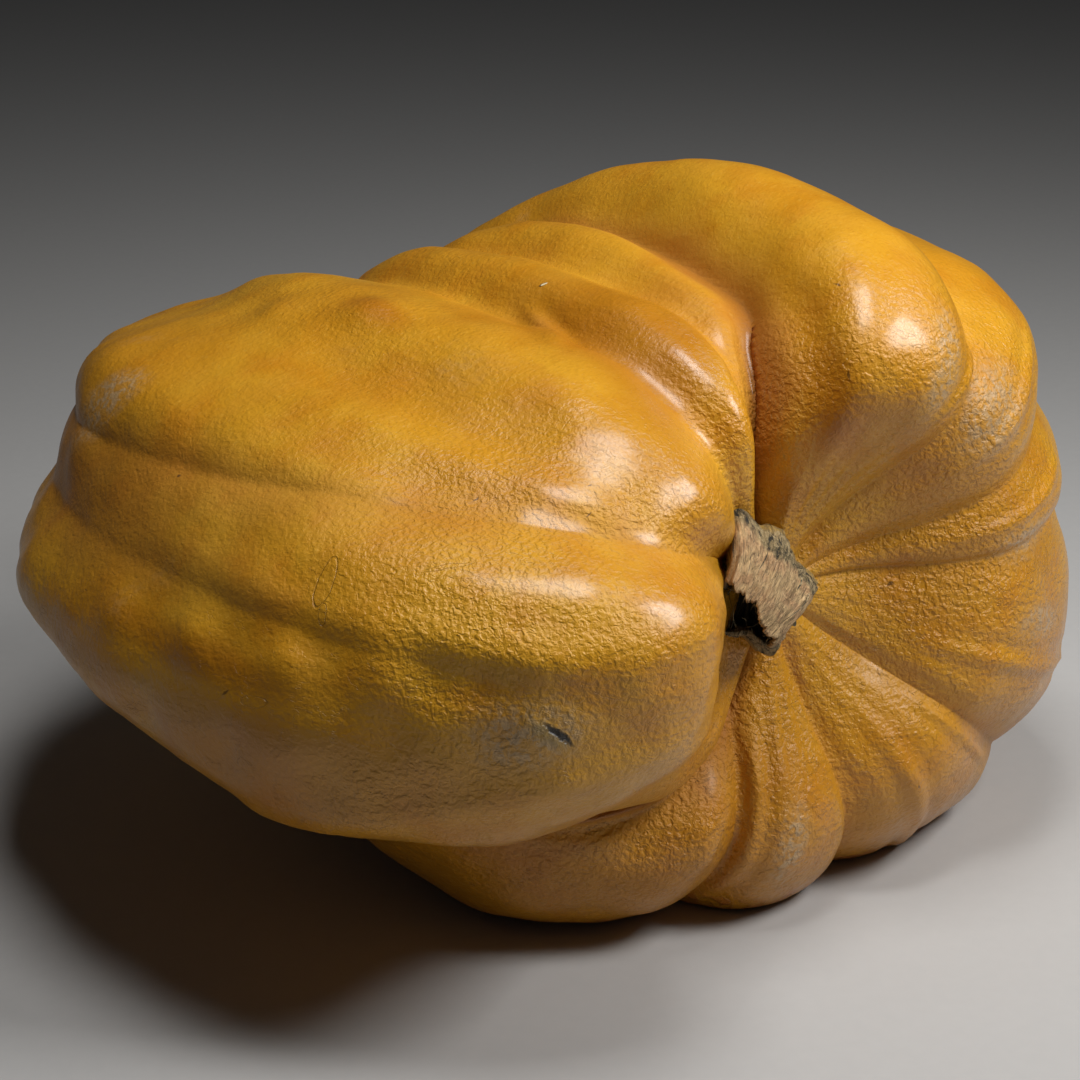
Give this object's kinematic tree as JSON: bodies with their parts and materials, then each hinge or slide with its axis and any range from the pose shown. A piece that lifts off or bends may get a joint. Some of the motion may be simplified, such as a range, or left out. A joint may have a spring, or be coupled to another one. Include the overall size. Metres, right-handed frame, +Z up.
{
  "type": "giant pumpkin",
  "caption": "Giant pumpkin lying on its side, a heavily lobed fruit with a deep cleft and a short dry hollow stem; rests on a flat spot.",
  "frame": {"origin": "on the ground, under the middle of the fruit's bounding box", "axes": "+Z up, -Y towards the stem end, +X to the right when the stem is looked at and along the fruit's greatest width"},
  "size_m": [1.0468, 0.9148, 0.6386],
  "materials": {
    "rind": "waxy satin, yellow-ochre with fine pebbled skin",
    "dry_stem": "rough, dry and fibrous"
  },
  "bodies": {
    "root": {"fruit_body": "rind", "stem": "dry_stem"}
  },
  "joints": []
}
